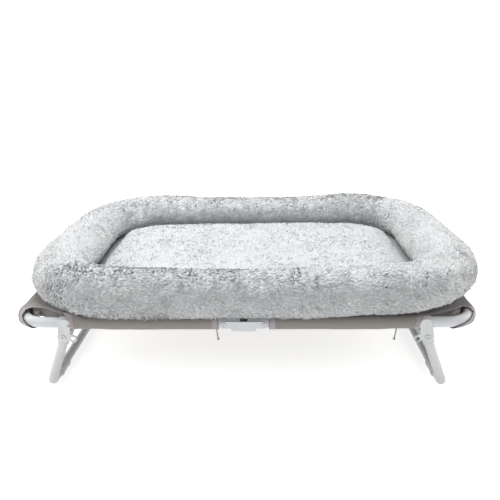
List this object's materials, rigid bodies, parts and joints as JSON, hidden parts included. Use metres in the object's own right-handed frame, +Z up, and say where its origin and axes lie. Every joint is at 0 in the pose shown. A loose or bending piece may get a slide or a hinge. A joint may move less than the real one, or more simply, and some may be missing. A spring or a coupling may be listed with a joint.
{
  "type": "elevated pet bed",
  "caption": "Folding pet cot on two U-shaped legs: white tube frame hinged in the middle, taupe fabric sling, and a loose plush bed with a stuffed rim.",
  "frame": {"origin": "on the floor, under the middle of the plush bed and of the whole part's box", "axes": "+X along the bed towards its right end, +Y to the back, +Z up; the front faces -Y"},
  "size_m": [0.68, 0.485, 0.1778],
  "materials": {
    "white_steel": "white powder coat, satin",
    "white_plastic": "moulded white, semi-gloss",
    "rivet_steel": "bright zinc",
    "end_plug": "matt black",
    "sling_cloth": "taupe plain-weave canvas",
    "binding_tape": "mauve grosgrain tape",
    "drawcord": "thin braided cord",
    "plush": "pale blue-grey short-pile plush",
    "base_cloth": "grey non-woven base cloth",
    "filling": "white polyester filling"
  },
  "bodies": {
    "left_half": {"front_left_leg_bracket": "white_plastic", "front_left_leg_rivet": "rivet_steel", "left_bracket_screws": "rivet_steel", "left_drawcord_knot": "drawcord", "left_drawcord_tail": "drawcord", "left_frame_tube": "white_steel", "left_sleeve_bindings": "binding_tape", "left_tube_end_plugs": "end_plug", "rear_left_leg_bracket": "white_plastic", "rear_left_leg_rivet": "rivet_steel", "sling_left_panel": "sling_cloth"},
    "hinge_link": {"front_hinge_channel": "white_steel", "front_left_hinge_rivet": "rivet_steel", "front_right_hinge_rivet": "rivet_steel", "rear_hinge_channel": "white_steel", "rear_left_hinge_rivet": "rivet_steel", "rear_right_hinge_rivet": "rivet_steel", "sling_centre_strip": "sling_cloth"},
    "right_half": {"front_right_leg_bracket": "white_plastic", "front_right_leg_rivet": "rivet_steel", "rear_right_leg_bracket": "white_plastic", "rear_right_leg_rivet": "rivet_steel", "right_bracket_screws": "rivet_steel", "right_drawcord_knot": "drawcord", "right_drawcord_tail": "drawcord", "right_frame_tube": "white_steel", "right_sleeve_bindings": "binding_tape", "right_tube_end_plugs": "end_plug", "sling_right_panel": "sling_cloth"},
    "left_leg": {"front_left_foot_pad": "white_plastic", "front_left_leg_socket": "white_plastic", "left_leg_tube": "white_steel", "rear_left_foot_pad": "white_plastic", "rear_left_leg_socket": "white_plastic"},
    "right_leg": {"front_right_foot_pad": "white_plastic", "front_right_leg_socket": "white_plastic", "rear_right_foot_pad": "white_plastic", "rear_right_leg_socket": "white_plastic", "right_leg_tube": "white_steel"},
    "bed": {"bolster_cover": "plush", "bolster_filling": "filling", "pad_cover": "plush", "pad_foam": "filling", "bed_base_cloth": "base_cloth"}
  },
  "joints": [
    {"name": "frame_fold", "type": "hinge", "parent": "left_half", "child": "hinge_link", "pos_m": [-0.0375, 0, 0.1025], "axis": [0, 1, 0], "range_deg": [0, 90]},
    {"name": "far_half_fold", "type": "hinge", "parent": "hinge_link", "child": "right_half", "pos_m": [0.0165, 0, 0.1025], "axis": [0, 1, 0], "range_deg": [0, 90]},
    {"name": "left_leg_fold", "type": "hinge", "parent": "left_half", "child": "left_leg", "pos_m": [-0.257, 0, 0.085], "axis": [0, -1, 0], "range_deg": [0, 111]},
    {"name": "right_leg_fold", "type": "hinge", "parent": "right_half", "child": "right_leg", "pos_m": [0.236, 0, 0.085], "axis": [0, 1, 0], "range_deg": [0, 111]},
    {"name": "bed_lift", "type": "slide", "parent": "left_half", "child": "bed", "axis": [0, 0, 1], "range_m": [0, 0.25]}
  ],
  "couplings": [
    {"joint": "far_half_fold", "follows": "frame_fold", "ratio": 1},
    {"joint": "left_leg_fold", "follows": "frame_fold", "ratio": 1.2331},
    {"joint": "right_leg_fold", "follows": "frame_fold", "ratio": 1.2331}
  ]
}
